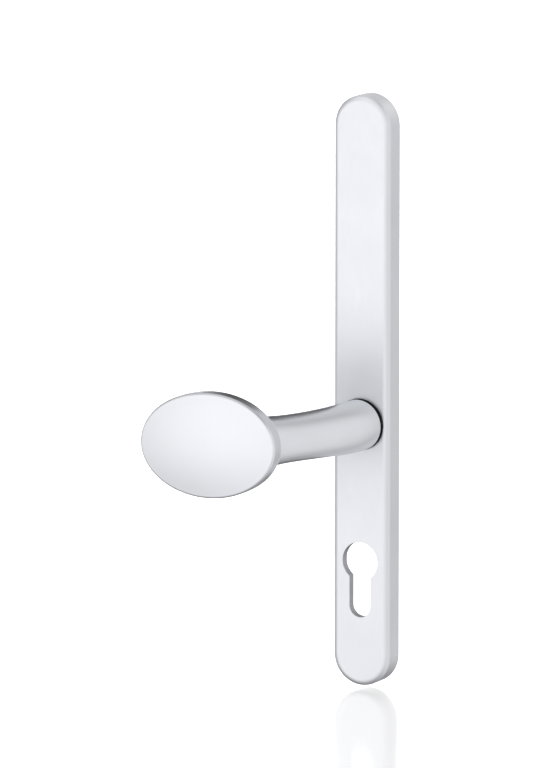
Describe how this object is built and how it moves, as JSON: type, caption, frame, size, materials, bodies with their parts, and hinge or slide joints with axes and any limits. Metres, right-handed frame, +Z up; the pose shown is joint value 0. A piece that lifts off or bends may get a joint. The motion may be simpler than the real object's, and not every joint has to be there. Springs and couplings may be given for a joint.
{
  "type": "door pad handle on backplate",
  "caption": "Cranked oval pad handle that turns in a long narrow round-ended backplate with a euro profile cylinder cut-out.",
  "frame": {"origin": "on the handle's turning axis, in the plane of the door face", "axes": "+Z up the door, -Y out of the door towards the user, +X to the user's right; the handle's neck is cranked towards -X"},
  "size_m": [0.0826, 0.0985, 0.2655],
  "materials": {
    "anodised_aluminium": "satin silver anodised",
    "black_nylon": "moulded, matt",
    "zinc_steel": "turned, bright zinc plated",
    "spring_steel": "oiled",
    "zinc_alloy": "as cast",
    "sintered_bronze": "sintered",
    "buffer_rubber": "moulded",
    "filled_nylon": "glass-filled, matt",
    "yellow_zinc": "yellow passivated"
  },
  "bodies": {
    "backplate": {"backplate_cover": "anodised_aluminium", "guide_bush": "black_nylon", "stop_buffers": "buffer_rubber", "cassette_body": "zinc_alloy", "cassette_cover": "zinc_steel", "cassette_rivets": "zinc_steel", "cassette_screws": "zinc_steel", "return_spring_left": "spring_steel", "return_spring_right": "spring_steel", "upper_anchor_block": "filled_nylon", "lower_anchor_block": "filled_nylon", "upper_fixing_post": "yellow_zinc", "lower_fixing_post": "yellow_zinc", "anchor_block_screws": "zinc_steel"},
    "handle": {"pad_handle": "anodised_aluminium", "drive_shank": "zinc_steel", "shank_grub_screw": "spring_steel", "spring_washer": "spring_steel", "stop_washer": "zinc_steel", "retaining_circlip": "spring_steel", "cassette_rotor": "sintered_bronze"}
  },
  "joints": [
    {"name": "handle_turn", "type": "hinge", "parent": "backplate", "child": "handle", "pos_m": [0, 0, 0], "axis": [0, -1, 0], "range_deg": [-45, 45], "stiffness_Nm_per_rad": 1.5, "deforming": ["return_spring_left", "return_spring_right"]}
  ]
}
